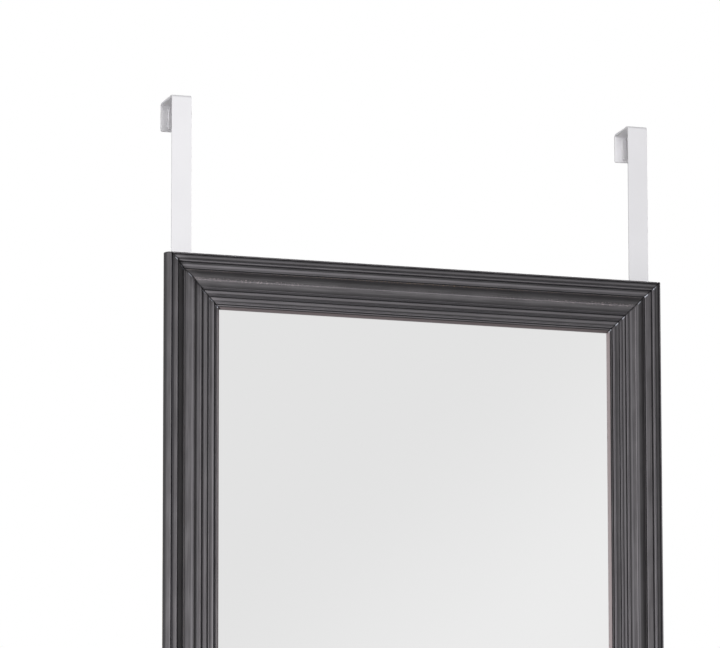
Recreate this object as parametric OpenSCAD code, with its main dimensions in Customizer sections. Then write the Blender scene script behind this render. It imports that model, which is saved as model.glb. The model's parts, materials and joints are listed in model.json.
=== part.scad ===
// Over-the-door mirror. A mitred frame of fluted moulding holds a tall plain mirror, and two flat
// steel hangers screwed to the back of its upper corners hook over the top edge of a door.
// Millimetres, +Z up. The mirror faces -Y and the door stands on the +Y side. The origin is on
// the door's top front edge, midway between the hangers.

/* [Frame] */
// Overall width across the back of the frame
frame_w = 508; // [380:1:640]
// Overall height of the frame
frame_h = 1372; // [900:1:1700]
// Drop from the top edge of the door to the top of the frame
hang_drop = 158; // [60:1:240]

/* [Moulding: outer part] */
// Thickness of the moulding, from its back to its highest arris
mould_d = 20; // [19.5:0.1:28]
// How far the outer side leans in on its way to the front
side_lean = 2.3; // [0.5:0.1:5]
// Height of the square foot at the back of the outer side
side_foot = 1.5; // [0.5:0.1:4]
// Bulge of the outer side above a straight line
side_bulge = 0.5; // [0.1:0.1:0.6]
// Width of the narrow flat at the front of the outer side
edge_w = 0.6; // [0.3:0.1:2]
// Fall of that flat below the highest arris
edge_fall = 0.6; // [0:0.1:1.5]
// Width of the V groove beside it
vee_w = 1.6; // [1:0.1:3]
// Depth of the V groove
vee_d = 1.9; // [0.5:0.1:2.5]
// Width of the rim hollow
rim_w = 4.3; // [2:0.1:8]
// Fall at the outer edge of the rim hollow
rim_fall = 0.9; // [0.5:0.1:2]
// Width of the ovolo that steps down from the rim
ovolo_w = 4.7; // [3:0.1:9]
// Fall at the outer edge of the ovolo
ovolo_fall = 4; // [2.5:0.1:5]
// Bulge of the ovolo
ovolo_bulge = 0.6; // [0.3:0.1:1.2]

/* [Moulding: middle and inner part] */
// Width of the sunk valley in front of the broad round
valley_w = 2.3; // [1:0.1:4]
// Radius of the broad round
round_r = 10.6; // [9:0.1:16]
// Fall of its crest below the highest arris
round_fall = 4.2; // [3:0.1:5]
// Width of the round on the outer side of its crest
round_outer_w = 6.9; // [5:0.1:8]
// Width of the round on the inner side of its crest
round_inner_w = 2; // [0.5:0.1:3]
// Width of the cove
cove_w = 7.4; // [4:0.1:10]
// Fall at the inner arris of the cove
cove_fall = 6.4; // [5.2:0.1:7]
// Hollow of the cove below a straight line
cove_hollow = 1.6; // [0.4:0.1:1.8]
// Width of the outer flute
flute_a_w = 3.8; // [2:0.1:6]
// Fall at the inner arris of the outer flute
flute_a_fall = 8.2; // [7.4:0.1:8.6]
// Width of the middle flute
flute_b_w = 4.6; // [2:0.1:6]
// Fall at the inner arris of the middle flute
flute_b_fall = 8.9; // [8.3:0.1:9.6]
// Width of the inner flute
flute_c_w = 1.8; // [1.5:0.1:4]
// Fall at the inner arris of the inner flute
flute_c_fall = 10; // [9.2:0.1:10.5]
// How far the outer arris of a flute lies below its inner one
flute_tilt = 0.4; // [0:0.1:0.8]
// Hollow of the rim and the flutes below a straight line
flute_hollow = 0.5; // [0.1:0.05:0.6]
// Width of the rounded sight edge
lip_w = 2; // [1:0.1:3]
// Fall at the foot of the rounded sight edge
lip_fall = 12.9; // [11:0.1:13.2]

/* [Moulding: quirks] */
// Width of each stepped quirk between two forms
quirk_w = 2.5; // [2.2:0.1:4]
// Width of the fillet on the step of a quirk
quirk_fillet = 0.7; // [0.3:0.1:1]
// Drop from an arris to that fillet
quirk_step = 1; // [0.3:0.1:1.2]
// Width taken by each sloping wall of a quirk
quirk_run = 0.25; // [0.1:0.05:0.4]
// Depth of a quirk below the form on its inner side
quirk_sink = 0.9; // [0.3:0.1:1.2]

/* [Rabbet and mirror] */
// Depth of the rabbet from the back of the frame
rabbet_d = 6.2; // [5.8:0.1:6.9]
// How far the sight edge covers the glass
rabbet_w = 6.5; // [4:0.1:7]
// Play between the rabbet and the sheets in it, on each side
rabbet_play = 0.8; // [0.2:0.1:2]
// Thickness of the mirror glass
glass_t = 3; // [2:0.1:3.5]
// Ground arris along the edges of the glass
glass_arris = 0.4; // [0.1:0.1:0.8]
// Thickness of the card liner behind the glass
liner_t = 0.6; // [0.4:0.1:1]
// Thickness of the backing board
board_t = 1.6; // [1.2:0.1:2]
// Clipped corners of the liner and the board
corner_clip = 4; // [1:0.5:10]

/* [Hangers] */
// Thickness of the door that the hangers fit
door_t = 35; // [28:0.5:50]
// Spare room across the door
door_play = 1.5; // [0.5:0.1:4]
// Width of each hanger's steel strap
strap_w = 20; // [14:0.5:30]
// Thickness of the strap
strap_t = 2; // [1.8:0.1:3]
// Inside radius of the two bends
bend_r = 1.5; // [1:0.1:4]
// Length of the hook's back leg below the door's top edge
leg_drop = 26.5; // [26:0.5:60]
// Distance from the outer edge of the frame's back to the strap
strap_inset = 8; // [4:0.5:14]
// Length of strap behind the frame
strap_tail = 95; // [82:1:200]
// Corner radius at the lower end of the strap
tail_r = 6; // [1:0.5:7]
// Corner radius at the end of the back leg
tip_r = 1.5; // [0.5:0.1:5]

/* [Screws] */
// Distance from the top of the frame to the upper screw
screw_down = 46; // [40:1:60]
// Distance between the two screws of a hanger
screw_pitch = 32; // [12:1:36]
// Length of each screw
screw_len = 10; // [8:0.5:12]
// Diameter of the screw's shank
shank_d = 3.5; // [3:0.1:4]
// Diameter of the flat countersunk head
head_d = 6.8; // [6:0.1:7]
// Clearance round the shank and head in the strap
screw_play = 0.2; // [0.05:0.05:0.4]
// Clearance round the shank in the wood
pilot_play = 0.05; // [0.02:0.01:0.1]
// Width of each slot of the cross recess
recess_w = 0.9; // [0.6:0.1:1.2]
// Length of each slot of the cross recess
recess_l = 4; // [2:0.1:4.5]
// Depth of the cross recess
recess_d = 1.2; // [0.6:0.1:1.5]

/* [Pads and bumpers] */
// Thickness of the soft pad inside each hook
pad_t = 2; // [1:0.1:4]
// Width of the pad
pad_w = 6; // [4:0.5:12]
// Height of the pad
pad_h = 21; // [10:0.5:22]
// Corner radius of the pad
pad_r = 1.8; // [0.5:0.1:1.9]
// Distance from the end of the back leg to the pad
pad_up = 2.6; // [1:0.1:4]
// Diameter of the two bumpers at the foot of the frame
bumper_d = 14; // [8:0.5:20]
// Rounding of a bumper's face
bumper_r = 0.9; // [0.3:0.1:1.5]
// Distance from the frame's edges to the centre of a bumper
bumper_in = 22; // [14:0.5:36]

/* [Nails and points] */
// Length of each leg of a mitre nail, along the joint
nail_leg = 6.5; // [4:0.5:8]
// Angle of each leg to the line of the mitre
nail_spread = 35; // [20:1:50]
// Thickness of a mitre nail
nail_t = 0.6; // [0.4:0.1:1]
// Depth of a mitre nail in the wood
nail_depth = 7; // [4:0.5:8]
// Distance of the outer mitre nail from the frame's edges
nail_outer = 10; // [7:0.5:14]
// Distance of the inner mitre nail from the frame's edges
nail_inner = 31; // [27:0.5:36]
// Glazing points along the top and along the bottom
points_across = 3; // [2:1:5]
// Glazing points up each side
points_up = 7; // [3:1:12]
// Thickness of a glazing point
point_t = 0.5; // [0.3:0.1:0.6]
// Width of a glazing point
point_w = 8; // [5:0.5:12]
// Length of a glazing point driven into the wood
point_in = 6; // [3:0.5:9]
// Length of a glazing point lying on the board
point_out = 9; // [5:0.5:14]

/* [Hidden] */
$fn = 48;
arc_steps = 10;
over = 1;

charcoal = [0.27, 0.265, 0.275];
silvered = [0.86, 0.88, 0.88];
kraft = [0.68, 0.55, 0.38];
hardboard = [0.42, 0.30, 0.20];
zinc = [0.72, 0.73, 0.74];
white_coat = [0.93, 0.93, 0.93];
soft_white = [0.82, 0.82, 0.80];

frame_top = -hang_drop;
frame_bottom = frame_top - frame_h;
frame_mid = (frame_top + frame_bottom) / 2;
back_y = -strap_t;
hook_gap = door_t + pad_t + door_play;
hanger_x = frame_w / 2 - strap_inset - strap_w / 2;

// Places across the moulding, counted from the outer edge of its back towards the glass.
edge_u = side_lean + edge_w;
rim_u = edge_u + vee_w;
rim_end_u = rim_u + rim_w;
ovolo_u = rim_end_u + quirk_w;
valley_u = ovolo_u + ovolo_w;
round_u = valley_u + valley_w;
crest_u = round_u + round_outer_w;
cove_u = crest_u + round_inner_w;
cove_end_u = cove_u + cove_w;
flute_a_u = cove_end_u + quirk_w;
flute_a_end_u = flute_a_u + flute_a_w;
flute_b_u = flute_a_end_u + quirk_w;
flute_b_end_u = flute_b_u + flute_b_w;
flute_c_u = flute_b_end_u + quirk_w;
flute_c_end_u = flute_c_u + flute_c_w;
mould_w = flute_c_end_u + lip_w;

// The round is one arc through its crest, so its two ends fall below the crest by this much.
round_start_fall = round_fall + round_r - sqrt(round_r * round_r - round_outer_w * round_outer_w);
round_end_fall = round_fall + round_r - sqrt(round_r * round_r - round_inner_w * round_inner_w);

// The sheets in the rabbet, by their distance from the back of the frame.
glass_back = rabbet_d - glass_t;
liner_back = glass_back - liner_t;
board_back = liner_back - board_t;
sheet_w = frame_w - 2 * (mould_w - rabbet_w + rabbet_play);
sheet_h = frame_h - 2 * (mould_w - rabbet_w + rabbet_play);

// Points between p and q on an arc that rises sag above their chord, or sinks below it.
function arc(p, q, sag) =
    let (
        chord = q - p,
        along = chord / norm(chord),
        out = [-along[1], along[0]],
        half = 2 * atan(2 * abs(sag) / norm(chord)),
        r = norm(chord) / (2 * sin(half)),
        centre = (p + q) / 2 + out * (sag - sign(sag) * r)
    )
    [for (i = [1:arc_steps - 1])
        let (t = half * (2 * i / arc_steps - 1))
        centre + r * (sign(sag) * cos(t) * out + sin(t) * along)];

// A place on the face of the moulding: u from the outer edge, fall below the highest arris.
function face(u, fall) = [u, mould_d - fall];

// A stepped quirk from an arris down to the foot of the next form.
function quirk(u, fall, next_fall) = [
    face(u, fall),
    face(u + quirk_run, fall + quirk_step),
    face(u + quirk_run + quirk_fillet, fall + quirk_step),
    face(u + 2 * quirk_run + quirk_fillet, next_fall + quirk_sink),
    face(u + quirk_w - quirk_run, next_fall + quirk_sink),
    face(u + quirk_w, next_fall)
];

// A shallow flute between an outer arris and a prouder inner one.
function flute(u, w, fall, tilt) = arc(face(u, fall + tilt), face(u + w, fall), -flute_hollow);

// The valley before the round: a sunk channel and a small fillet.
function valley(u) = [
    face(u, round_start_fall),
    face(u + quirk_run, round_start_fall + quirk_sink),
    face(u + valley_w / 2, round_start_fall + quirk_sink),
    face(u + valley_w / 2 + quirk_run, round_start_fall)
];

// Points on the arc of the round, from its outer foot to the start of the cove.
function broad_round() =
    let (
        a = -asin(round_outer_w / round_r),
        b = asin(round_inner_w / round_r),
        centre = face(crest_u, round_fall + round_r)
    )
    [for (i = [0:2 * arc_steps])
        let (t = a + (b - a) * i / (2 * arc_steps))
        centre + round_r * [sin(t), cos(t)]];

// Section of the moulding: x inward from the outer edge, y forward from the back.
module moulding_section() {
    outline = concat(
        [[0, 0], [0, side_foot]],
        arc([0, side_foot], face(side_lean, edge_fall), side_bulge),
        [face(side_lean, edge_fall), face(edge_u, edge_fall)],
        [face(edge_u + vee_w / 2, edge_fall + vee_d), face(rim_u, rim_fall)],
        flute(rim_u, rim_w, 0, rim_fall),
        quirk(rim_end_u, 0, ovolo_fall),
        arc(face(ovolo_u, ovolo_fall), face(valley_u, round_start_fall), ovolo_bulge),
        valley(valley_u),
        broad_round(),
        arc(face(cove_u, round_end_fall), face(cove_end_u, cove_fall), -cove_hollow),
        quirk(cove_end_u, cove_fall, flute_a_fall + flute_tilt),
        flute(flute_a_u, flute_a_w, flute_a_fall, flute_tilt),
        quirk(flute_a_end_u, flute_a_fall, flute_b_fall + flute_tilt),
        flute(flute_b_u, flute_b_w, flute_b_fall, flute_tilt),
        quirk(flute_b_end_u, flute_b_fall, flute_c_fall + flute_tilt),
        flute(flute_c_u, flute_c_w, flute_c_fall, flute_tilt),
        [face(flute_c_end_u, flute_c_fall)],
        arc(face(flute_c_end_u, flute_c_fall), face(mould_w, lip_fall), flute_hollow),
        [face(mould_w, lip_fall), [mould_w, rabbet_d]],
        [[mould_w - rabbet_w, rabbet_d], [mould_w - rabbet_w, 0]]
    );
    mirror([0, 1]) polygon(outline);
}

// A length of moulding standing along +Z, with its back on the XZ plane.
module moulding(length) {
    linear_extrude(length) moulding_section();
}

// Keeps what lies inside the two mitres of a member that is length long and lies along +Z.
module between_mitres(length) {
    reach = mould_w + over;
    intersection() {
        children();
        translate([0, over, 0])
            rotate([90, 0, 0])
                linear_extrude(mould_d + 2 * over)
                    polygon([
                        [-over, -over],
                        [reach, reach],
                        [reach, length - reach],
                        [-over, length + over]
                    ]);
    }
}

// Puts a member that stands along +Z, with its outer edge on the Z axis, on one side of the frame.
module on_left() {
    translate([-frame_w / 2, back_y, frame_bottom]) children();
}
module on_right() {
    mirror([1, 0, 0]) on_left() children();
}
module on_top() {
    translate([-frame_w / 2, back_y, frame_top]) rotate([0, 90, 0]) children();
}
module on_bottom() {
    translate([frame_w / 2, back_y, frame_bottom]) rotate([0, -90, 0]) children();
}

// Puts what is drawn at the origin as the lower left corner of the frame at the named corner.
module at_corner(right, top) {
    half_x = frame_w / 2;
    half_z = frame_h / 2;
    translate([0, back_y, frame_mid])
        mirror([right ? 1 : 0, 0, 0])
            mirror([0, 0, top ? 1 : 0])
                translate([-half_x, 0, -half_z])
                    children();
}

// V-shaped steel nail pressed flush into the back, its point outwards and a leg in each member.
module mitre_nail(inset) {
    translate([inset, 0, inset])
        rotate([90, -45, 0])
            linear_extrude(nail_depth)
                for (side = [-1, 1])
                    rotate(side * nail_spread)
                        translate([0, -nail_t / 2])
                            square([nail_leg, nail_t]);
}
module mitre_nails() {
    mitre_nail(nail_outer);
    mitre_nail(nail_inner);
}
module all_mitre_nails() {
    for (right = [false, true], top = [false, true]) at_corner(right, top) mitre_nails();
}

// Flat steel point, pushed into the wood at one end and lying on the board at the other.
module glazing_point() {
    translate([mould_w - rabbet_w, -(board_back - point_t), 0])
        rotate([90, 0, 0])
            linear_extrude(point_t)
                polygon([
                    [-point_in, 0],
                    [0, point_w / 2],
                    [point_out, point_w / 2],
                    [point_out, -point_w / 2],
                    [0, -point_w / 2]
                ]);
}
module point_row(length, count) {
    first = mould_w + point_w;
    step = (length - 2 * first) / (count - 1);
    for (i = [0:count - 1]) translate([0, 0, first + i * step]) glazing_point();
}

// Countersunk wood screw lying along -Y, its head at the origin. play widens it into its hole.
module screw_body(play) {
    cone_h = (head_d - shank_d) / 2;
    tip_h = shank_d / 2;
    rotate([90, 0, 0]) {
        cylinder(h = cone_h, d1 = head_d + 2 * play, d2 = shank_d + 2 * play);
        cylinder(h = screw_len - tip_h, d = shank_d + 2 * play);
        translate([0, 0, screw_len - tip_h])
            cylinder(h = tip_h, d1 = shank_d + 2 * play, d2 = 0);
    }
}
module screw() {
    difference() {
        screw_body(0);
        for (turn = [0, 90])
            rotate([0, turn, 0])
                translate([-recess_l / 2, -recess_d, -recess_w / 2])
                    cube([recess_l, recess_d + over, recess_w]);
    }
}
module at_screws() {
    for (i = [0, 1]) translate([0, 0, frame_top - screw_down - i * screw_pitch]) children();
}
module pilot_holes() {
    for (side = [-1, 1]) translate([side * hanger_x, 0, 0]) at_screws() screw_body(pilot_play);
}

// The four members of the frame, with the slots and holes of what is driven into them.
module top_rail() {
    color(charcoal)
        difference() {
            on_top() between_mitres(frame_w) moulding(frame_w);
            all_mitre_nails();
            on_top() point_row(frame_w, points_across);
        }
}
module bottom_rail() {
    color(charcoal)
        difference() {
            on_bottom() between_mitres(frame_w) moulding(frame_w);
            all_mitre_nails();
            on_bottom() point_row(frame_w, points_across);
        }
}
module left_stile() {
    color(charcoal)
        difference() {
            on_left() between_mitres(frame_h) moulding(frame_h);
            all_mitre_nails();
            on_left() point_row(frame_h, points_up);
            pilot_holes();
        }
}
module right_stile() {
    color(charcoal)
        difference() {
            on_right() between_mitres(frame_h) moulding(frame_h);
            all_mitre_nails();
            on_right() point_row(frame_h, points_up);
            pilot_holes();
        }
}

// A sheet in the rabbet, its back at the named distance from the back of the frame.
module sheet(back, thick, clip) {
    a = sheet_w / 2;
    b = sheet_h / 2;
    translate([0, back_y - back, frame_mid])
        rotate([90, 0, 0])
            linear_extrude(thick)
                polygon([
                    [-a + clip, -b], [a - clip, -b], [a, -b + clip], [a, b - clip],
                    [a - clip, b], [-a + clip, b], [-a, b - clip], [-a, -b + clip]
                ]);
}

// Section of the glass across one direction, with its ground arrises.
module glass_section(size) {
    a = size / 2;
    c = glass_arris;
    polygon([
        [-a + c, 0], [a - c, 0], [a, c], [a, glass_t - c],
        [a - c, glass_t], [-a + c, glass_t], [-a, glass_t - c], [-a, c]
    ]);
}
module mirror_glass() {
    color(silvered)
        translate([0, back_y - rabbet_d, frame_mid])
            intersection() {
                translate([0, 0, -sheet_h / 2]) linear_extrude(sheet_h) glass_section(sheet_w);
                translate([-sheet_w / 2, 0, 0])
                    rotate([90, 0, 90])
                        linear_extrude(sheet_w) rotate(90) mirror([0, 1]) glass_section(sheet_h);
            }
}
module card_liner() {
    color(kraft) sheet(liner_back, liner_t, corner_clip);
}
module backing_board() {
    color(hardboard) sheet(board_back, board_t, corner_clip);
}

module top_glazing_points() {
    color(zinc) on_top() point_row(frame_w, points_across);
}
module bottom_glazing_points() {
    color(zinc) on_bottom() point_row(frame_w, points_across);
}
module left_glazing_points() {
    color(zinc) on_left() point_row(frame_h, points_up);
}
module right_glazing_points() {
    color(zinc) on_right() point_row(frame_h, points_up);
}

module top_left_mitre_nails() {
    color(zinc) at_corner(false, true) mitre_nails();
}
module top_right_mitre_nails() {
    color(zinc) at_corner(true, true) mitre_nails();
}
module bottom_left_mitre_nails() {
    color(zinc) at_corner(false, false) mitre_nails();
}
module bottom_right_mitre_nails() {
    color(zinc) at_corner(true, false) mitre_nails();
}

// Side view of a quarter bend round the origin, in the quadrant where side * x and y are positive.
module quarter_bend(side) {
    outer_r = bend_r + strap_t;
    intersection() {
        difference() {
            circle(outer_r);
            circle(bend_r);
        }
        translate([side < 0 ? -outer_r : 0, 0]) square(outer_r);
    }
}
// Side view of the bent strap: x towards the back of the door, y up.
module strap_side() {
    low = frame_top - strap_tail;
    translate([-strap_t, low]) square([strap_t, -bend_r - low]);
    translate([bend_r, -bend_r]) quarter_bend(-1);
    translate([bend_r, 0]) square([hook_gap - 2 * bend_r, strap_t]);
    translate([hook_gap - bend_r, -bend_r]) quarter_bend(1);
    translate([hook_gap, -leg_drop]) square([strap_t, leg_drop - bend_r]);
}
// What is left outside a corner rounding of radius r, with the corner at the origin.
module corner_waste(r) {
    translate([-over, -over])
        difference() {
            square(r + over);
            translate([r + over, r + over]) circle(r);
        }
}
// Rounds the two lower corners of a leg whose back or front lies at y, and whose end is at z.
module rounded_end(y, z, r) {
    for (side = [false, true])
        mirror([side ? 1 : 0, 0, 0])
            translate([-strap_w / 2, y + over, z])
                rotate([90, 0, 0])
                    linear_extrude(strap_t + 2 * over) corner_waste(r);
}
module hanger() {
    difference() {
        translate([-strap_w / 2, 0, 0]) rotate([90, 0, 90]) linear_extrude(strap_w) strap_side();
        rounded_end(0, frame_top - strap_tail, tail_r);
        rounded_end(hook_gap + strap_t, -leg_drop, tip_r);
        at_screws() screw_body(screw_play);
    }
}
module left_hanger() {
    color(white_coat) translate([-hanger_x, 0, 0]) hanger();
}
module right_hanger() {
    color(white_coat) translate([hanger_x, 0, 0]) hanger();
}
module left_hanger_screws() {
    color(zinc) translate([-hanger_x, 0, 0]) at_screws() screw();
}
module right_hanger_screws() {
    color(zinc) translate([hanger_x, 0, 0]) at_screws() screw();
}

// Soft pad stuck to the inside of a hook's back leg.
module hook_pad() {
    translate([0, hook_gap, pad_up - leg_drop])
        rotate([90, 0, 0])
            linear_extrude(pad_t) {
                translate([-pad_w / 2, pad_r]) square([pad_w, pad_h - 2 * pad_r]);
                translate([-pad_w / 2 + pad_r, 0]) square([pad_w - 2 * pad_r, pad_h]);
                for (x = [-1, 1], y = [pad_r, pad_h - pad_r])
                    translate([x * (pad_w / 2 - pad_r), y]) circle(pad_r);
            }
}
module left_hook_pad() {
    color(soft_white) translate([-hanger_x, 0, 0]) hook_pad();
}
module right_hook_pad() {
    color(soft_white) translate([hanger_x, 0, 0]) hook_pad();
}

// Round bumper, as thick as the strap, so that the frame hangs parallel to the door.
module bumper() {
    rotate([-90, 0, 0])
        rotate_extrude()
            polygon(concat(
                [[0, 0], [bumper_d / 2, 0], [bumper_d / 2, strap_t - bumper_r]],
                [for (i = [1:arc_steps - 1])
                    let (t = 90 * i / arc_steps)
                    [bumper_d / 2 - bumper_r + bumper_r * cos(t),
                        strap_t - bumper_r + bumper_r * sin(t)]],
                [[bumper_d / 2 - bumper_r, strap_t], [0, strap_t]]
            ));
}
module left_bumper() {
    color(soft_white) at_corner(false, false) translate([bumper_in, 0, bumper_in]) bumper();
}
module right_bumper() {
    color(soft_white) at_corner(true, false) translate([bumper_in, 0, bumper_in]) bumper();
}

top_rail();
bottom_rail();
left_stile();
right_stile();
mirror_glass();
card_liner();
backing_board();
top_glazing_points();
bottom_glazing_points();
left_glazing_points();
right_glazing_points();
top_left_mitre_nails();
top_right_mitre_nails();
bottom_left_mitre_nails();
bottom_right_mitre_nails();
left_hanger();
right_hanger();
left_hanger_screws();
right_hanger_screws();
left_hook_pad();
right_hook_pad();
left_bumper();
right_bumper();
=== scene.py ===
import json
import math

import bmesh
import bpy
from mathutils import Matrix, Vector

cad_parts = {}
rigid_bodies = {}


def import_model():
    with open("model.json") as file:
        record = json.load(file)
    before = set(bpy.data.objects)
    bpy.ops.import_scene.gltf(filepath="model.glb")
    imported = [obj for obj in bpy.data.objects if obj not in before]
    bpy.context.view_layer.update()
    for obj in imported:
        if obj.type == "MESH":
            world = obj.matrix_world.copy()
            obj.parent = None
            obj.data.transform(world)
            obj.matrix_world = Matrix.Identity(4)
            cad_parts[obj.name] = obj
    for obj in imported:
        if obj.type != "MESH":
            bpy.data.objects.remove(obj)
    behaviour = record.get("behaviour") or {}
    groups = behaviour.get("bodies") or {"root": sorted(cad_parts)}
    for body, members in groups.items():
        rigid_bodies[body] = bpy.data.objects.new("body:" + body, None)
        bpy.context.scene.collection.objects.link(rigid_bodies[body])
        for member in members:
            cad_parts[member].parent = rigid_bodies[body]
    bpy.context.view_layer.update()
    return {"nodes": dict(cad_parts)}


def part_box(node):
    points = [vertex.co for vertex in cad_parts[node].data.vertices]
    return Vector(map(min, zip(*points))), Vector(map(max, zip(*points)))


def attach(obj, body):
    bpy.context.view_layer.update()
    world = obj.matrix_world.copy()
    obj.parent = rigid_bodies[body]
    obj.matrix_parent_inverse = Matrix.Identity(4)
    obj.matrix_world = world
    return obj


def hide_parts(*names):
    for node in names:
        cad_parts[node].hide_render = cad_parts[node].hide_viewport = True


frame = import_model()
nodes = frame["nodes"]
mm = 0.001

# ---------------------------------------------------------------------------------------------
# The frame's four members: one fluted moulding run in solid wood, mitred at the corners and
# painted charcoal. The paint rounds every arris and streaks along the length. Shade is painted
# dark into the sunk corners, the V groove, the quirks and the outer side, and highlights are
# painted lighter on the arrises and the crest, partly as rubbed wear on the sharpest edges.
# The back and the rabbet are left as bare wood.

weld = 1e-6  # points nearer than this are one, in metres
hair = 1e-7  # a side shorter than this has no direction, in metres
straight = 1e-3  # a turn of less is none, in radians
arris_r = 0.28 * mm  # how far from a corner the paint starts to round it
arris_share = 0.4  # and the most of a side that it may take
arris_steps = 3
arris_turn = math.radians(20)  # the least turn that is a corner
station_gap = 12 * mm  # between the sections along a member
waviness = 0.05 * mm
notch_w = 1.2 * mm  # the open V at each mitre
notch_d = 0.5 * mm
rabbet_w = 6.5 * mm
rabbet_d = 6.2 * mm


def merged(node):
    """A bmesh of a CAD node with its loose triangles joined up."""
    bm = bmesh.new()
    bm.from_mesh(nodes[node].data)
    bmesh.ops.remove_doubles(bm, verts=bm.verts, dist=weld)
    return bm


def cut_loop(node, place, normal):
    """The outline, in order, where a plane cuts a CAD node."""
    bm = merged(node)
    everything = bm.verts[:] + bm.edges[:] + bm.faces[:]
    cut = bmesh.ops.bisect_plane(
        bm, geom=everything, plane_co=place, plane_no=normal, dist=hair
    )["geom_cut"]
    edges = {e for e in cut if isinstance(e, bmesh.types.BMEdge)}
    start = min((v for e in edges for v in e.verts), key=lambda v: (v.co.x, -v.co.y))
    points, here, before = [start.co.copy()], start, None
    while True:
        onward = [e for e in here.link_edges if e in edges and e is not before]
        if before is None:
            onward.sort(key=lambda e: e.other_vert(here).co.y)
        before = onward[0]
        here = before.other_vert(here)
        if here is start:
            break
        points.append(here.co.copy())
    bm.free()
    return points


def turn_at(a, b, c):
    """How far an outline turns at b, between a and c."""
    if (b - a).length < hair or (c - b).length < hair:
        return 0.0
    return (b - a).angle(c - b)


def softened(points):
    """The outline, its corners rounded by paint, and how each point stands: 1 proud, -1 sunk."""
    n = len(points)
    area = sum(points[i - 1].x * points[i].y - points[i].x * points[i - 1].y for i in range(n))
    kept = [
        points[i]
        for i in range(n)
        if turn_at(points[i - 1], points[i], points[(i + 1) % n]) > straight
    ]
    n, soft, stands = len(kept), [], []
    for i in range(n):
        a, b, c = kept[i - 1], kept[i], kept[(i + 1) % n]
        if turn_at(a, b, c) < arris_turn:
            soft.append(b)
            stands.append(0.0)
            continue
        proud = 1.0 if (b - a).cross(c - b).z * area > 0 else -1.0
        before = b + (a - b) * min(arris_r, arris_share * (a - b).length) / (a - b).length
        after = b + (c - b) * min(arris_r, arris_share * (c - b).length) / (c - b).length
        for k in range(arris_steps + 1):
            t = k / arris_steps
            soft.append(before * (1 - t) ** 2 + b * 2 * t * (1 - t) + after * t**2)
            stands.append(proud)
    return soft, stands


class Wire:
    """A value in a node tree. Sums on it add Math nodes, and any other node comes from node()."""

    def __init__(self, tree, socket=None):
        self.tree = tree
        self.socket = socket

    def node(self, kind, settings=None, sockets=None, out=0):
        """Adds a node with these settings, and a value or a wire for each socket."""
        made = self.tree.nodes.new(kind)
        for name, value in (settings or {}).items():
            setattr(made, name, value)
        for name, value in (sockets or {}).items():
            if isinstance(value, Wire):
                self.tree.links.new(value.socket, made.inputs[name])
            else:
                made.inputs[name].default_value = value
        return Wire(self.tree, made.outputs[out])

    def beside(self, out):
        """Another output of the node that this value comes from."""
        return Wire(self.tree, self.socket.node.outputs[out])

    def math(self, operation, a, b=0.0, clamp=False):
        settings = {"operation": operation, "use_clamp": clamp}
        return self.node("ShaderNodeMath", settings, {0: a, 1: b})

    def __add__(self, other):
        return self.math("ADD", self, other)

    __radd__ = __add__

    def __sub__(self, other):
        return self.math("SUBTRACT", self, other)

    def __rsub__(self, other):
        return self.math("SUBTRACT", other, self)

    def __mul__(self, other):
        return self.math("MULTIPLY", self, other)

    __rmul__ = __mul__

    def __truediv__(self, other):
        return self.math("DIVIDE", self, other)

    def __gt__(self, other):
        return self.math("GREATER_THAN", self, other)

    def __lt__(self, other):
        return self.math("LESS_THAN", self, other)

    def smallest(self, other):
        return self.math("MINIMUM", self, other)

    def largest(self, other):
        return self.math("MAXIMUM", self, other)

    def distance(self, other):
        """How far this value is from another."""
        return self.math("ABSOLUTE", self - other)

    def ramp(self, low, high, start=0.0, end=1.0):
        """Goes smoothly from start to end as this value goes from low to high."""
        settings = {"interpolation_type": "SMOOTHSTEP"}
        values = {0: self, 1: low, 2: high, 3: start, 4: end}
        return self.node("ShaderNodeMapRange", settings, values)

    def mix(self, a, b):
        """Colour a where this value is 0, and colour b where it is 1."""
        colours = {6: rgba(a), 7: rgba(b)}  # the node's sockets for colours
        return self.node("ShaderNodeMix", {"data_type": "RGBA"}, {0: self, **colours}, out=2)

    def noise(self, scale, detail=3.0, roughness=0.55, stretch=None):
        """Smooth noise at this place, a vector, from 0 to 1. stretch scales each axis first."""
        place = self
        if stretch:
            settings = {"operation": "MULTIPLY"}
            place = self.node("ShaderNodeVectorMath", settings, {0: self, 1: stretch})
        values = {"Vector": place, "Scale": scale, "Detail": detail, "Roughness": roughness}
        return self.node("ShaderNodeTexNoise", {}, values)

    def bump(self, height):
        """A normal that stands up where this value is high; height is the rise in metres."""
        return self.node("ShaderNodeBump", {}, {"Height": self, "Distance": height})


def rgba(colour):
    return colour if isinstance(colour, Wire) or len(colour) == 4 else (*colour, 1.0)


def srgb(r, g, b):
    """A colour given as the eye's 0-255 steps, as linear light."""
    def linear(v):
        v /= 255
        return v / 12.92 if v <= 0.04045 else ((v + 0.055) / 1.055) ** 2.4

    return (linear(r), linear(g), linear(b))


def new_finish(name):
    """A material, its first wire, and its Principled shader."""
    material = bpy.data.materials.new(name)
    material.use_nodes = True
    tree = material.node_tree
    return material, Wire(tree), tree.nodes["Principled BSDF"]


def wear(shader, **sockets):
    """Sets or links the shader's sockets; an underscore in a name stands for a space."""
    for name, value in sockets.items():
        socket = shader.inputs[name.replace("_", " ")]
        if isinstance(value, Wire):
            value.tree.links.new(value.socket, socket)
        else:
            socket.default_value = rgba(value) if isinstance(value, tuple) else value


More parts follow.
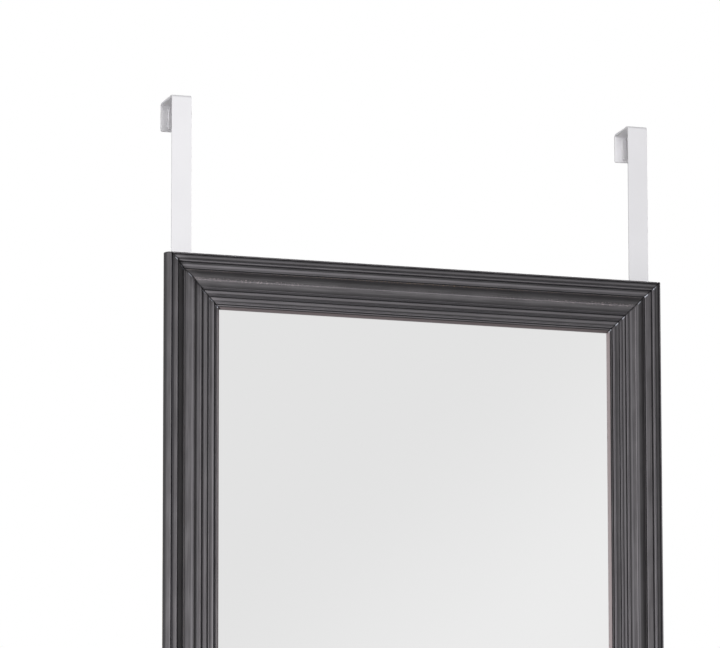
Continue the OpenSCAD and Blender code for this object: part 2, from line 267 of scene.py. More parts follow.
def paint_finish(form):
    """Charcoal paint over wood, with painted shade and highlights, by each point's place on its
    member. form says what lies where.
    """
    coat_dark, coat_light, outer_shade_dark = srgb(67, 65, 67), srgb(87, 85, 87), srgb(26, 25, 27)
    corner_shade_dark, shade_dark, seam_dark = srgb(34, 33, 36), srgb(28, 27, 30), srgb(20, 20, 22)
    highlight_grey, pale, glint_white = srgb(125, 122, 126), srgb(172, 159, 161), srgb(206, 209, 220)
    lit_lip_colour, shaded_lip_colour, gold = srgb(126, 117, 118), srgb(78, 71, 72), srgb(148, 124, 96)
    wood_light, wood_dark = srgb(198, 170, 130), srgb(174, 143, 104)

    material, w, shader = new_finish("charcoal_paint")
    across, along, rise, edge, mitre, rail = (
        w.node("ShaderNodeAttribute", {"attribute_name": name}, out="Fac")
        for name in ("across", "along", "rise", "edge", "mitre", "rail")
    )
    place = w.node("ShaderNodeCombineXYZ", {}, {"X": across, "Y": along, "Z": rise})
    streak = place.noise(1.0, 4, 0.6, stretch=(900, 22, 900))
    cloud = place.noise(1.0, 3, 0.5, stretch=(60, 28, 60))
    fine = place.noise(1.0, 2, 0.5, stretch=(2200, 500, 2200))

    # The coat, streaked along the length, with painted highlights in a lighter grey on the arrises,
    # the crest of the stiles and listed bands; on the arrises they also stand for rubbed wear.
    tone = (streak * 0.6 + cloud * 0.4).ramp(0.35, 0.65)
    paint = tone.mix(coat_dark, coat_light)
    crest = across.distance(form["crest"])
    arris = edge.ramp(0.5, 1.0) * (1 - 0.3 * rail) * across.ramp(3 * mm, 4 * mm, 0.3, 1.0)
    painted_highlight = arris.largest(crest.ramp(0.2 * mm, 1.6 * mm, 0.8, 0.0) * (1 - rail))
    for name, member in (("rail_highlights", rail), ("stile_highlights", 1 - rail)):
        for band_at, band_strength in form[name]:
            highlight_band = across.distance(band_at).ramp(0.3 * mm, 1.4 * mm, band_strength, 0.0)
            painted_highlight = painted_highlight.largest(highlight_band * member)
    paint = (painted_highlight * (0.4 + 0.6 * streak)).mix(paint, highlight_grey)

    # Painted shade: dark in the sunk corners, the V groove, and the quirks and hollows of the
    # rails.
    paint = ((0 - edge).ramp(-0.2, 0.9) * 0.75).mix(paint, corner_shade_dark)
    painted_shade = across.distance(form["vee"]).ramp(0.5 * mm, 1.2 * mm, 0.8, 0.0) * (1 - 0.3 * rail)
    for quirk in form["quirks"]:
        painted_shade = painted_shade.largest(across.distance(quirk).ramp(0.4 * mm, 0.9 * mm, 0.65, 0.0) * rail)
    for hollow in form["hollows"]:
        painted_shade = painted_shade.largest(across.distance(hollow).ramp(0.3 * mm, 2.2 * mm, 0.35, 0.0) * rail)
    paint = painted_shade.mix(paint, shade_dark)
    # The lip's brownish edge, painted lighter on the stiles and darker on the rails as light and
    # shade.
    lip = across.ramp(form["lip"] - 0.3 * mm, form["lip"] + 0.2 * mm)
    paint = lip.mix(paint, rail.mix(lit_lip_colour, shaded_lip_colour))
    # Painted shade on the outer side, darker towards the back.
    outer = (across < 2.2 * mm) * rise.ramp(6.5 * mm, 13 * mm, 0.92, 0.0)
    paint = outer.mix(paint, outer_shade_dark)

    # Flecks, gold on the fillet and pale beside the crest.
    fleck = fine.ramp(0.52, 0.6) * mitre.ramp(60 * mm, 220 * mm, 0.3, 1.0)
    on_fillet = across.distance(form["fillet"]).ramp(0.4 * mm, 0.7 * mm, 1.0, 0.0)
    paint = (on_fillet * fleck * (0.1 + 0.6 * rail)).mix(paint, gold)
    speck = place.noise(900, 1).ramp(0.56, 0.64) * mitre.ramp(50 * mm, 170 * mm, 1.0, 0.2)
    on_crest = across.distance(form["crest"] + 1.5 * mm).ramp(0.6 * mm, 2 * mm, 1.0, 0.0)
    paint = (on_crest * speck * (0.1 + 0.4 * rail)).mix(paint, pale)

    # A dark seam at the mitres, and pale marks beside it on the stiles where the arrises meet it:
    # painted glints, which also stand for chipped paint.
    seam = mitre.ramp(0.7 * mm, 1.9 * mm, 1.0, 0.0)
    paint = (seam * (0.25 + 0.65 * rail)).mix(paint, seam_dark)
    mitre_glint = mitre.ramp(0.4 * mm, 1.7 * mm, 1.0, 0.0) * (1 - rail)
    for glint_at in form["glint_at"]:
        here = mitre_glint * across.distance(glint_at).ramp(0.9 * mm, 2.1 * mm, 0.8, 0.0)
        paint = here.mix(paint, glint_white)

    # Bare wood behind and in the rabbet, with some overspray along the back's outer edge.
    in_rabbet = (across > form["rabbet"] - 0.1 * mm) * (rise < rabbet_d + 0.05 * mm)
    overspray = across.ramp(0.5 * mm, 5 * mm, 0.8, 0.0) * streak.ramp(0.35, 0.65)
    bare = rise.ramp(0.2 * mm, 0.7 * mm, 1.0, 0.0).largest(in_rabbet) * (1 - overspray)
    wood = (streak * 0.7 + cloud * 0.3).ramp(0.3, 0.7).mix(wood_light, wood_dark)
    wear(
        shader,
        Base_Color=bare.mix(paint, wood),
        Roughness=(0.36 + 0.12 * streak) * (1 - bare) + 0.7 * bare,
        Normal=(streak * 0.6 + fine * 0.4).bump(0.06 * mm),
        Specular_IOR_Level=0.28,
    )
    return material


def new_tree(name, sizes):
    """An empty node tree with these named inputs, its first wire and a wire from each input."""
    tree = bpy.data.node_groups.new(name, "GeometryNodeTree")
    for size, kind in sizes.items():
        tree.interface.new_socket(size, in_out="INPUT", socket_type="NodeSocket" + kind)
    tree.interface.new_socket("Mesh", in_out="OUTPUT", socket_type="NodeSocketGeometry")
    group = tree.nodes.new("NodeGroupInput")
    return Wire(tree), {size: Wire(tree, group.outputs[size]) for size in sizes}


def end_tree(made, finish):
    """Ends a node tree: real geometry with its finish on it."""
    made = made.node("GeometryNodeRealizeInstances", {}, {"Geometry": made})
    made = made.node("GeometryNodeSetMaterial", {}, {"Geometry": made, "Material": finish})
    out = made.tree.nodes.new("NodeGroupOutput")
    made.tree.links.new(made.socket, out.inputs[0])
    return made.tree


def moulding_tree():
    """Node tree that runs a section along one side of the frame and mitres both ends."""
    sizes = {
        "Section": "Object",
        "Length": "Float",
        "Stations": "Int",
        "Waviness": "Float",
        "Notch width": "Float",
        "Notch depth": "Float",
        "Member": "Float",
        "Rail": "Float",
        "Turn": "Float",
        "Corner": "Vector",
        "Finish": "Material",
    }
    w, given = new_tree("moulding_run", sizes)
    section = w.node("GeometryNodeObjectInfo", {}, {"Object": given["Section"]}, out="Geometry")
    corners = w.node(
        "GeometryNodeAttributeDomainSize", {}, {"Geometry": section}, out="Point Count"
    )
    sheet = w.node(
        "GeometryNodeMeshGrid",
        {},
        {"Size X": 1.0, "Size Y": 1.0, "Vertices X": corners + 1, "Vertices Y": given["Stations"]},
    )
    index = w.node("GeometryNodeInputIndex")
    column = w.math("FLOOR", index / given["Stations"])
    station = index - column * given["Stations"]
    on_section = {"Geometry": section, "Index": w.math("MODULO", column, corners)}
    position = w.node("GeometryNodeInputPosition")
    stands = w.node("GeometryNodeInputNamedAttribute", {"data_type": "FLOAT"}, {"Name": "stands"})
    place, edge = (
        w.node("GeometryNodeSampleIndex", {"data_type": kind}, {**on_section, "Value": value})
        for kind, value in (("FLOAT_VECTOR", position), ("FLOAT", stands))
    )
    across = place.node("ShaderNodeSeparateXYZ", {}, {0: place})
    rise = across.beside("Y")

    last = given["Stations"] - 1
    inner_share = w.math("DIVIDE", station - 1, last - 2, clamp=True)
    started, ended = station > 0.5, station > last - 0.5
    inner_length = given["Length"] - 2 * across - 2 * given["Notch width"]
    from_mitre = given["Notch width"] * (started + ended) + inner_share * inner_length
    along = across + from_mitre
    to_mitre = from_mitre.smallest(given["Length"] - 2 * across - from_mitre)
    ripples_across, ripples_along = 40, 9  # in a metre
    noise_place = w.node(
        "ShaderNodeCombineXYZ",
        {},
        {"X": across * ripples_across, "Y": along * ripples_along, "Z": given["Member"]},
    )
    ripple = (noise_place.noise(1.0, 2) - 0.5) * given["Waviness"]
    sunk = given["Notch depth"] * (1 - started + ended)
    front = rise.ramp(rabbet_d + 0.2 * mm, rabbet_d + 1.4 * mm)  # the back and the rabbet stay true
    spot = w.node(
        "ShaderNodeCombineXYZ", {}, {"X": across, "Y": (sunk - ripple) * front - rise, "Z": along}
    )
    run = w.node("GeometryNodeSetPosition", {}, {"Geometry": sheet, "Position": spot})
    kept = {
        "across": across,
        "along": along + given["Member"],
        "rise": rise,
        "edge": edge,
        "mitre": to_mitre,
        "rail": given["Rail"],
    }
    for name, value in kept.items():
        run = w.node(
            "GeometryNodeStoreNamedAttribute",
            {"data_type": "FLOAT", "domain": "POINT"},
            {"Geometry": run, "Name": name, "Value": value},
        )
    run = w.node("GeometryNodeMergeByDistance", {}, {"Geometry": run, "Distance": weld})
    turned = w.node("ShaderNodeCombineXYZ", {}, {"Y": given["Turn"]})
    run = w.node(
        "GeometryNodeTransform",
        {},
        {"Geometry": run, "Rotation": turned, "Translation": given["Corner"]},
    )
    return end_tree(run, given["Finish"])


def placed(name, data):
    """A new object in the scene."""
    made = bpy.data.objects.new(name, data)
    bpy.context.scene.collection.objects.link(made)
    return made


def settle(piece, modifier):
    """Makes what a modifier does to a piece its own mesh, and takes the modifier off."""
    bpy.context.view_layer.update()
    depsgraph = bpy.context.evaluated_depsgraph_get()
    shape = bpy.data.meshes.new_from_object(piece.evaluated_get(depsgraph))
    piece.modifiers.remove(modifier)
    piece.data = shape


def grown(tree, name, values):
    """A plain mesh piece made by a node tree with these inputs."""
    piece = placed(name, bpy.data.meshes.new(name))
    modifier = piece.modifiers.new("grown", "NODES")
    modifier.node_group = tree
    sockets = {s.name: s.identifier for s in tree.interface.items_tree if s.in_out == "INPUT"}
    for key, value in values.items():
        modifier[sockets[key]] = value
    settle(piece, modifier)
    return piece


def smooth(shape, angle):
    """Smooths a mesh, but for its edges that turn by more than the angle, in degrees."""
    shape.shade_smooth()
    shape.set_sharp_from_angle(angle=math.radians(angle))


def closed_and_smooth(piece, angle):
    """Caps open ends, turns the faces outwards and smooths all but the sharp edges."""
    bm = bmesh.new()
    bm.from_mesh(piece.data)
    bmesh.ops.holes_fill(bm, edges=[e for e in bm.edges if e.is_boundary])
    bmesh.ops.recalc_face_normals(bm, faces=bm.faces)
    bm.to_mesh(piece.data)
    bm.free()
    smooth(piece.data, angle)


def installed(piece, slot, *stands_for):
    """Fixes a finished piece to the frame's one body, in place of the CAD nodes it stands for."""
    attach(piece, "root")
    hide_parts(*stands_for)


frame_low, frame_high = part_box("left_stile")
right_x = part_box("right_stile")[1].x
left_x, back_y = frame_low.x, frame_high.y
bottom_z, top_z = frame_low.z, frame_high.z
mould_w = frame_high.x - left_x
clear_of_points = Vector((0, 0, (bottom_z + top_z) / 2 + 50 * mm))
cut = cut_loop("left_stile", clear_of_points, (0, 0, 1))
outline, stands = softened([Vector((p.x - left_x, back_y - p.y, 0)) for p in cut])
section_mesh = bpy.data.meshes.new("moulding_section")
section_mesh.from_pydata(outline, [], [])
section_mesh.attributes.new("stands", "FLOAT", "POINT").data.foreach_set("value", stands)
section = bpy.data.objects.new("moulding_section", section_mesh)

# Where the forms lie, from the member's outer side, how strong the painted highlight is on each
# listed band, and where painted glints lie by the mitres.
paint = paint_finish(
    {
        "vee": 4.7 * mm,
        "fillet": 17.8 * mm,
        "crest": 25.2 * mm,
        "rail_highlights": (
            (6.4 * mm, 0.7),
            (10.6 * mm, 0.3),
            (14.1 * mm, 0.65),
            (18.5 * mm, 0.7),
            (38.7 * mm, 0.7),
            (45.2 * mm, 0.75),
            (50.3 * mm, 0.6),
        ),
        "stile_highlights": ((31.3 * mm, 0.85), (38.5 * mm, 0.8), (47.6 * mm, 0.6)),
        "quirks": (8.9 * mm, 12.1 * mm, 35.2 * mm, 41.5 * mm),
        "hollows": (15.4 * mm, 21.4 * mm, 32.6 * mm),
        "glint_at": (8 * mm, 15.2 * mm, 22.8 * mm, 38 * mm, 45 * mm, 51.6 * mm),
        "lip": mould_w - 2 * mm,
        "rabbet": mould_w - rabbet_w,
    }
)
run_tree = moulding_tree()

# Each member's turn in degrees, the x and z of the corner that it starts from, and its length.
sides = {
    "left_stile": (0, left_x, bottom_z, top_z - bottom_z),
    "top_rail": (90, left_x, top_z, right_x - left_x),
    "right_stile": (180, right_x, top_z, top_z - bottom_z),
    "bottom_rail": (-90, right_x, bottom_z, right_x - left_x),
}
for number, (name, (turn, x, z, length)) in enumerate(sides.items()):
    member = grown(
        run_tree,
        "painted_" + name,
        {
            "Section": section,
            "Length": length,
            "Stations": round(length / station_gap),
            "Waviness": waviness,
            "Notch width": notch_w,
            "Notch depth": notch_d,
            "Member": float(2 * number),
            "Rail": float(number % 2),
            "Turn": math.radians(turn),
            "Corner": (x, back_y, z),
            "Finish": paint,
        },
    )
    closed_and_smooth(member, angle=35)
    installed(member, "moulding", name)
bpy.data.objects.remove(section)

# ---------------------------------------------------------------------------------------------
# The mirror: one sheet of float glass with ground edges, silvered on its back and painted grey
# over the silver. It lies in the rabbet behind the sight edge, and the glazing points hold it.

glass_low, glass_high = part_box("mirror_glass")


def mirror_finish():
    """Silver on the front with a painted gradient of reflected light, darker to the upper left,
    grey paint behind, a green rim.
    """
    material, w, shader = new_finish("silvered_glass")
    place = w.node("ShaderNodeTexCoord", out="Object")
    x = place.node("ShaderNodeSeparateXYZ", {}, {0: place}, out="X")
    y, z = x.beside("Y"), x.beside("Z")
    faint = place.noise(3.0, 2)
    reflection_gradient = (x - z + (faint - 0.5) * 0.1).ramp(0.28, 0.68)
    silver = reflection_gradient.mix(srgb(227, 227, 227), srgb(236, 236, 236))
    skin = 0.05 * mm
    face = y < glass_low.y + skin
    back = y > glass_high.y - skin
    rim = back.mix(srgb(96, 128, 118), srgb(120, 122, 126))
    wear(
        shader,
        Base_Color=face.mix(rim, silver),
        Metallic=face,
        Roughness=0.35 - 0.34 * face,
    )
    return material


def finish_node(name, material):
    """Gives a CAD node that stays in view its own finish."""
    node = nodes[name]
    node.data.materials.clear()
    node.data.materials.append(material)


finish_node("mirror_glass", mirror_finish())

# ---------------------------------------------------------------------------------------------
# Behind the glass: a sheet of brown kraft card, which keeps grit off the paint, and a back of
# pressed hardboard. Both are cut to the rabbet, and the glazing points hold them in.


def card_finish():
    material, w, shader = new_finish("kraft_card")
    place = w.node("ShaderNodeTexCoord", out="Object")
    fibre = place.noise(900, 4, 0.7)
    cloud = place.noise(20, 3)
    tone = (fibre * 0.6 + cloud * 0.4).ramp(0.3, 0.7)
    wear(
        shader,
        Base_Color=tone.mix(srgb(176, 146, 104), srgb(198, 170, 128)),
        Roughness=0.85,
        Normal=fibre.bump(0.05 * mm),
    )
    return material


def hardboard_finish():
    material, w, shader = new_finish("hardboard")
    place = w.node("ShaderNodeTexCoord", out="Object")
    fibre = place.noise(420, 5, 0.7)
    cloud = place.noise(9, 3)
    dark = place.noise(1500, 2, 0.6).ramp(0.62, 0.7)
    tone = (fibre * 0.55 + cloud * 0.45).ramp(0.3, 0.7)
    colour = tone.mix(srgb(104, 74, 50), srgb(136, 100, 68))
    wear(
        shader,
        Base_Color=(dark * 0.5).mix(colour, srgb(70, 48, 34)),
        Roughness=0.7 + 0.15 * fibre,
        Normal=fibre.bump(0.12 * mm),
    )
    return material


finish_node("card_liner", card_finish())
finish_node("backing_board", hardboard_finish())

# ---------------------------------------------------------------------------------------------
# Small steel, zinc plated: flat glazing points pushed sideways into the rabbet, V nails pressed
# into the back across each mitre, and two countersunk screws that hold each hanger to its stile.

point_edge, nail_edge, screw_edge = 0.06 * mm, 0.05 * mm, 0.08 * mm  # as wide as each is broken
nail_proud = 0.12 * mm  # how far the nails stand out of the back


def zinc_finish():
    material, w, shader = new_finish("zinc_plate")
    place = w.node("ShaderNodeTexCoord", out="Object")
    bloom = place.noise(160, 3)
    scratch = place.noise(1.0, 3, 0.6, stretch=(2500, 2500, 300))
    wear(
        shader,
        Base_Color=bloom.ramp(0.35, 0.65).mix(srgb(196, 198, 200), srgb(178, 180, 186)),
        Metallic=1.0,
        Roughness=0.28 + 0.2 * scratch,
        Normal=scratch.bump(0.02 * mm),
    )
    return material


def solids_of(node):
    """A bmesh of a CAD node, and the middle and points of each of its solids, in order."""
    bm = merged(node)
    waiting, solids = set(bm.verts), []
    while waiting:
        solid, reach = set(), [waiting.pop()]
        while reach:
            vert = reach.pop()
            if vert not in solid:
                solid.add(vert)
                reach += [edge.other_vert(vert) for edge in vert.link_edges]
        waiting -= solid
        low = Vector([min(v.co[i] for v in solid) for i in range(3)])
        high = Vector([max(v.co[i] for v in solid) for i in range(3)])
        solids.append(((low + high) / 2, solid))
    solids.sort(key=lambda s: (round(s[0].z, 5), s[0].x))  # upwards, and each level to the right
    return bm, solids


def dressed(bm, name, width, angle=30):
    """A piece made of a bmesh, with its flat faces whole and its edges broken by this width."""
    flat_within = math.radians(0.5)
    bmesh.ops.dissolve_limit(bm, angle_limit=flat_within, verts=bm.verts, edges=bm.edges)
    shape = bpy.data.meshes.new(name)
    bm.to_mesh(shape)
    bm.free()
    piece = placed(name, shape)
    bevel = piece.modifiers.new("broken_edges", "BEVEL")
    bevel.width = width
    bevel.segments = 3
    bevel.limit_method = "ANGLE"
    bevel.angle_limit = math.radians(angle)
    settle(piece, bevel)
    smooth(piece.data, angle)
    return piece


def row_tree():
    """Node tree that repeats one small piece at even steps."""
    sizes = {
        "Piece": "Object",
        "Count": "Int",
        "First": "Vector",
        "Step": "Vector",
        "Turn": "Float",
        "Finish": "Material",
    }
    w, given = new_tree("row_of_pieces", sizes)
    piece = w.node("GeometryNodeObjectInfo", {}, {"Object": given["Piece"]}, out="Geometry")
    line = {"Count": given["Count"], "Start Location": given["First"], "Offset": given["Step"]}
    spots = w.node("GeometryNodeMeshLine", {"mode": "OFFSET"}, line)
    turned = w.node("ShaderNodeCombineXYZ", {}, {"Y": given["Turn"]})
    put = {"Points": spots, "Instance": piece, "Rotation": turned}
    return end_tree(w.node("GeometryNodeInstanceOnPoints", {}, put), given["Finish"])


def in_a_row(name, node, piece, middles, turn=0, angle=30):
    """Repeats a piece at the middles of a CAD node's solids, and puts the row in its place."""
    step = middles[1] - middles[0]
    first = Vector((middles[0].x, 0, middles[0].z))
    values = {"Piece": piece, "Count": len(middles), "First": first, "Step": step}
    row = grown(steel_row, name, {**values, "Turn": math.radians(turn), "Finish": zinc})
    closed_and_smooth(row, angle)
    installed(row, "zinc_steel", node)


def like_first(node, width, lift=0.0):
    """The first solid of a CAD node with its edges broken, over the origin, and all the middles."""
    bm, solids = solids_of(node)
    middle, first = solids[0]
    bmesh.ops.delete(bm, geom=[v for v in bm.verts if v not in first], context="VERTS")
    bmesh.ops.translate(bm, verts=bm.verts, vec=(-middle.x, lift, -middle.z))
    piece = dressed(bm, node + "_one", width)
    bpy.context.scene.collection.objects.unlink(piece)
    return piece, [middle for middle, _ in solids]


def lofted(rings):
    """A closed bmesh over rings of points, as many in each."""
    bm = bmesh.new()
    rows = [[bm.verts.new(point) for point in ring] for ring in rings]
    for a, b in zip(rows, rows[1:]):
        for i in range(len(a)):
            bm.faces.new((a[i - 1], a[i], b[i], b[i - 1]))
    bm.faces.new(rows[0])
    bm.faces.new(rows[-1])
    bmesh.ops.recalc_face_normals(bm, faces=bm.faces)
    return bm


def glazing_point(low_y, high_y):
    """A flat point along +X: its tip goes into the wood, and its tab is pressed and turns up."""
    tab_x = 5  # past it the whole thickness turns up, and before it only a rib stands
    # How far along, half the width there, and how far the steel stands up, in millimetres.
    stations = [
        (-7.5, 0.2, 0),
        (-1.5, 4.0, 0),
        (0.2, 4.0, 0),
        (1.4, 4.0, 0.2),
        (3.2, 4.0, 0.2),
        (4.4, 3.95, 0),
        (6.0, 3.8, 0.05),
        (7.0, 3.5, 0.2),
        (7.5, 3.2, 0.36),
    ]
    rings = []
    for x, half, lift in stations:
        sides_up = [(-half, low_y), (half, low_y), (half, high_y), (0, high_y), (-half, high_y)]
        under, rib = (lift, lift) if x > tab_x else (0, lift * 0.5)
        lifts = [under, under, rib, lift, rib]
        rings.append([(x * mm, y + up * mm, z * mm) for (z, y), up in zip(sides_up, lifts)])
    piece = dressed(lofted(rings), "glazing_point", point_edge, angle=40)
    bpy.context.scene.collection.objects.unlink(piece)
    return piece


zinc = zinc_finish()
steel_row = row_tree()
point_low, point_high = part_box("left_glazing_points")
point = glazing_point(point_low.y, point_high.y)
for side, turn in (("left", 0), ("top", 90), ("right", 180), ("bottom", -90)):
    node = side + "_glazing_points"
    middles = [middle for middle, _ in solids_of(node)[1]]
    in_a_row(side + "_point_row", node, point, middles, turn, angle=40)
for corner in ("top_left", "top_right", "bottom_left", "bottom_right"):
    node = corner + "_mitre_nails"
    nail, middles = like_first(node, nail_edge, lift=nail_proud)
    in_a_row(corner + "_v_nails", node, nail, middles)
for side in ("left", "right"):
    node = side + "_hanger_screws"
    screw, middles = like_first(node, screw_edge)
    in_a_row(side + "_wood_screws", node, screw, middles)

# ---------------------------------------------------------------------------------------------
# The hangers: flat steel strap, bent twice over a former into a hook for the door, its edges
# broken, and powder coated white. Two screws fix each one behind its stile.

coat_r = 0.35 * mm


def keep_flats_flat(shape):
    """Shades each point by the faces round it, the larger the more, so that only the edges turn."""
    turns = [Vector() for _ in shape.vertices]
    for face in shape.polygons:
        for vert in face.vertices:
            turns[vert] += face.normal * face.area
    shape.shade_smooth()
    shape.normals_split_custom_set_from_vertices([turn.normalized() for turn in turns])


def coat_finish():
    material, w, shader = new_finish("white_powder_coat")
    place = w.node("ShaderNodeTexCoord", out="Object")
    peel = place.noise(700, 2, 0.4)
    cloud = place.noise(12, 2)
    wear(
        shader,
        Base_Color=cloud.ramp(0.3, 0.7).mix(srgb(237, 236, 239), srgb(241, 240, 243)),
        Roughness=0.46 + 0.1 * peel,
        Normal=peel.bump(0.03 * mm),
        Specular_IOR_Level=0.35,
    )
    return material


white_coat = coat_finish()
hooks = []
for side in ("left", "right"):
    strap = dressed(merged(side + "_hanger"), side + "_strap", coat_r)
    keep_flats_flat(strap.data)
    strap.data.materials.clear()
    strap.data.materials.append(white_coat)
    installed(strap, "white_steel", side + "_hanger")
    hooks.append(strap)

# ---------------------------------------------------------------------------------------------
# Closed-cell foam pads stuck inside the hooks, crowned and soft at the edge, and two moulded
# rubber bumpers stuck to the foot of the frame's back, which keep it parallel to the door.


def soft_finish(name, light, dark, scale):
    material, w, shader = new_finish(name)
    place = w.node("ShaderNodeTexCoord", out="Object")
    cells = place.noise(scale, 3, 0.6)
    cloud = place.noise(120, 2)
    wear(
        shader,
        Base_Color=(cells * 0.6 + cloud * 0.4).ramp(0.35, 0.65).mix(dark, light),
        Roughness=0.75 + 0.1 * cells,
        Normal=cells.bump(0.08 * mm),
    )
    return material


def rounded(half_x, half_z, r):
    """Points round a rectangle with rounded corners, the same number for every size."""
    r = min(r, half_x, half_z)
    steps = 8
    points = []
    for side_x, side_z, start in ((1, 1, 0), (-1, 1, 90), (-1, -1, 180), (1, -1, 270)):
        for k in range(steps + 1):
            t = math.radians(start + 90 / steps * k)
            points.append(
                (side_x * (half_x - r) + r * math.cos(t), side_z * (half_z - r) + r * math.sin(t))
            )
    return points


def stacked(name, rings, middle, finish):
    """A closed piece from rings of points, each with its height in y, round a middle."""
    bm = lofted([[middle + Vector((x, y, z)) for x, z in ring] for y, ring in rings])
    shape = bpy.data.meshes.new(name)
    bm.to_mesh(shape)
    bm.free()
    shape.materials.append(finish)
    smooth(shape, angle=50)
    return placed(name, shape)


foam = soft_finish("white_foam", srgb(232, 231, 234), srgb(220, 219, 222), scale=1800)
rubber = soft_finish("bumper_rubber", srgb(208, 208, 204), srgb(192, 192, 188), scale=500)

# Each ring's distance in from the edge and up from the base, in millimetres. A pad's corners
# tighten as the rings go in, by this share of it.
pad_corner_r, pad_corner_loss = 1.8, 0.4
pad_crown = [(0.1, 0), (0.02, 0.15), (0.08, 0.5), (0, 0.8), (0.05, 1.2), (0.2, 1.5), (0.5, 1.72)]
pad_crown += [(1.0, 1.87), (1.7, 1.96), (2.4, 2.0)]
bumper_dome = [(0.0, 0), (0.1, 0.5), (0.35, 1.0), (0.8, 1.4), (1.5, 1.7), (2.6, 1.9), (4.2, 2.0)]
for side in ("left", "right"):
    low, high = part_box(side + "_hook_pad")
    half = (high - low) / 2
    middle = Vector((low.x + half.x, high.y, low.z + half.z))
    rings = []
    for inset, up in pad_crown:
        corner_r = (pad_corner_r - pad_corner_loss * inset) * mm
        rings.append((-up * mm, rounded(half.x - inset * mm, half.z - inset * mm, corner_r)))
    pad = stacked(side + "_foam_pad", rings, middle, foam)
    installed(pad, "soft_pad", side + "_hook_pad")
    hooks.append(pad)

    low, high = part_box(side + "_bumper")
    half = (high - low) / 2
    middle = Vector((low.x + half.x, low.y, low.z + half.z))
    rings = []
    for inset, up in bumper_dome:
        rings.append((up * mm, rounded(half.x - inset * mm, half.z - inset * mm, half.x)))
    bumper = stacked(side + "_rubber_bumper", rings, middle, rubber)
    installed(bumper, "bumper", side + "_bumper")

# ---------------------------------------------------------------------------------------------
# The studio: a round pale floor as far down as under a door, in a white surround. Soft lamps
# light the mirror, some of them the hooks alone, and a long lens looks up at it from the left.

floor_z = -2.03
floor_r = 3.0
aim = Vector((-0.0593, -0.02, -0.2207))
camera_turn, camera_rise, camera_roll = 17.0, -11.741, -0.0765  # in degrees
camera_far = 7.5
camera_lens = 383.14  # in millimetres
lamps_aim_up = 0.3  # above the middle of the frame


def toward(azimuth, elevation):
    """Direction to a place round the object. Azimuth 0 is in front, and it grows to the left."""
    a, e = math.radians(azimuth), math.radians(elevation)
    return Vector((-math.sin(a) * math.cos(e), -math.cos(a) * math.cos(e), math.sin(e)))


def pointed(obj, target, roll=0.0):
    """Turns a camera or lamp to a target, and then round its own line of sight."""
    obj.rotation_euler = (target - obj.location).to_track_quat("-Z", "Y").to_euler()
    obj.rotation_euler.rotate_axis("Z", math.radians(roll))


lens = bpy.data.cameras.new("camera")
lens.lens = camera_lens
lens.clip_end = 100
camera = placed("camera", lens)
camera.location = aim + toward(camera_turn, camera_rise) * camera_far
pointed(camera, aim, camera_roll)
bpy.context.scene.camera = camera

# Each lamp's azimuth and elevation in degrees, distance and width in metres, and watts. The hooks
# have lamps of their own, because what suits the dark frame would burn out white steel.
lamp_plan = {
    "key": (60, -28, 2.0, 0.72, 87),
    "hook_front": (5.4, 16, 2.6, 1.0, 38),
    "hook_side": (75, 8, 2.6, 1.0, 32),
    "back": (-155, 28, 3.0, 2.0, 88),
    "hook_back": (-150, 20, 2.4, 1.0, 47),
}
lamps = {}
lamps_aim = Vector((0, 0, (top_z + bottom_z) / 2 + lamps_aim_up))
for name, (azimuth, elevation, far, size, power) in lamp_plan.items():
    light = bpy.data.lights.new(name, "AREA")
    light.shape = "DISK"
    light.size = size
    light.energy = power
    lamps[name] = placed(name, light)
    lamps[name].location = lamps_aim + toward(azimuth, elevation) * far
    pointed(lamps[name], lamps_aim)

floor_mesh = bpy.data.meshes.new("floor")
bm = bmesh.new()
bmesh.ops.create_circle(bm, cap_ends=True, segments=96, radius=floor_r)
bmesh.ops.translate(bm, verts=bm.verts, vec=(0, 0, floor_z))
bm.to_mesh(floor_mesh)
bm.free()
floor = placed("floor", floor_mesh)


def floor_finish():
    """Pale floor that keeps the shadow, fades to white towards its edge and is clear from below."""
    material, w, shader = new_finish("pale_floor")
    place = w.node("ShaderNodeTexCoord", out="Object")
    grain = place.noise(4, 3)
    wear(shader, Base_Color=grain.mix(srgb(236, 236, 236), srgb(240, 240, 240)), Roughness=0.9)
    centred = w.node("ShaderNodeVectorMath", {"operation": "MULTIPLY"}, {0: place, 1: (1, 1, 0)})
    away = w.node("ShaderNodeVectorMath", {"operation": "LENGTH"}, {0: centred}, out="Value")
    seen = w.node("ShaderNodeLightPath", out="Is Camera Ray")
    whitens = seen.largest(seen.beside("Is Glossy Ray")) * away.ramp(0.4, 2.6, 0.8, 1.0)
    white = w.node("ShaderNodeEmission", {}, {"Strength": 1.0})
    clear = w.node("ShaderNodeBsdfTransparent")
    under = w.node("ShaderNodeNewGeometry", out="Backfacing")
    lit = Wire(w.tree, shader.outputs[0])
    above = w.node("ShaderNodeMixShader", {}, {0: whitens, 1: lit, 2: white})
    both = w.node("ShaderNodeMixShader", {}, {0: under, 1: above, 2: clear})
    w.tree.links.new(both.socket, w.tree.nodes["Material Output"].inputs["Surface"])
    return material


floor_mesh.materials.append(floor_finish())

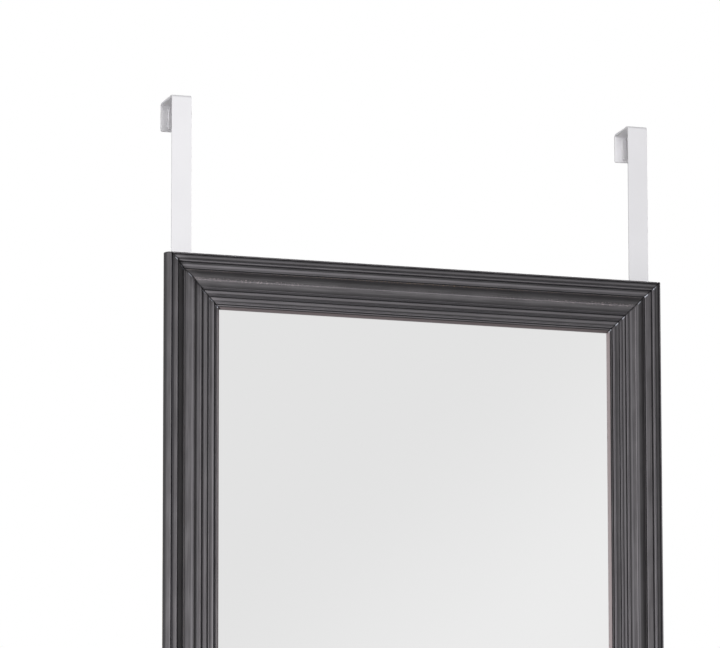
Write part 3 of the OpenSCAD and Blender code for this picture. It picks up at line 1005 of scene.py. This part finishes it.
# Every lamp is told what it lights, because one that isn't, among others that are, comes out too
# bright. The key leaves out the mirror and the floor, where it would show, and gloss doesn't see
# it, so that the rails don't glitter.
on_hooks = bpy.data.collections.new("white_hooks")
on_rest = bpy.data.collections.new("all_but_the_hooks")
on_frame = bpy.data.collections.new("frame_and_small_pieces")
for obj in bpy.context.scene.objects:
    if obj in hooks:
        on_hooks.objects.link(obj)
    elif obj.type == "MESH":
        on_rest.objects.link(obj)
        if obj not in (floor, nodes["mirror_glass"]):
            on_frame.objects.link(obj)
for name, lamp in lamps.items():
    lamp.light_linking.receiver_collection = {"key": on_frame, "back": on_rest}.get(name, on_hooks)
lamps["key"].visible_glossy = False


def world_light(ambient, behind):
    """White where it is seen. A soft wall ahead lights the object, and gloss sees a wider sweep."""
    to_wall = (0.25, -0.93, 0.27)
    world = bpy.data.worlds.new("studio")
    world.use_nodes = True
    bpy.context.scene.world = world
    w = Wire(world.node_tree)
    seen = w.node("ShaderNodeLightPath", out="Is Camera Ray")
    shine, through = seen.beside("Is Glossy Ray"), seen.beside("Is Transmission Ray")
    way = w.node("ShaderNodeTexCoord", out="Generated")

    def facing(direction):
        """1 straight along a direction, 0 square to it and -1 away from it."""
        values = {0: way, 1: Vector(direction).normalized()}
        return w.node("ShaderNodeVectorMath", {"operation": "DOT_PRODUCT"}, values, out="Value")

    # From the edge of each white area to its full strength, as cosines.
    wall = facing(to_wall).ramp(0.86, 0.97, ambient, 1.0)
    sweep = facing((0, -1, 0)).ramp(-0.1, 0.65, behind, 1.0)
    sweep = sweep.largest(facing((0, 1, 0)).ramp(0.3, 0.9, 0.0, 0.45))
    sweep = sweep.largest(facing((0, 0, -1)).ramp(0.0, 0.45, 0.0, 1.0))
    strength = seen.largest(through).largest(shine * sweep).largest(wall)
    background = world.node_tree.nodes["Background"]
    background.inputs["Color"].default_value = (1, 1, 1, 1)
    w.tree.links.new(strength.socket, background.inputs["Strength"])


world_light(ambient=0.03, behind=0.15)

bpy.context.scene.view_settings.view_transform = "Standard"
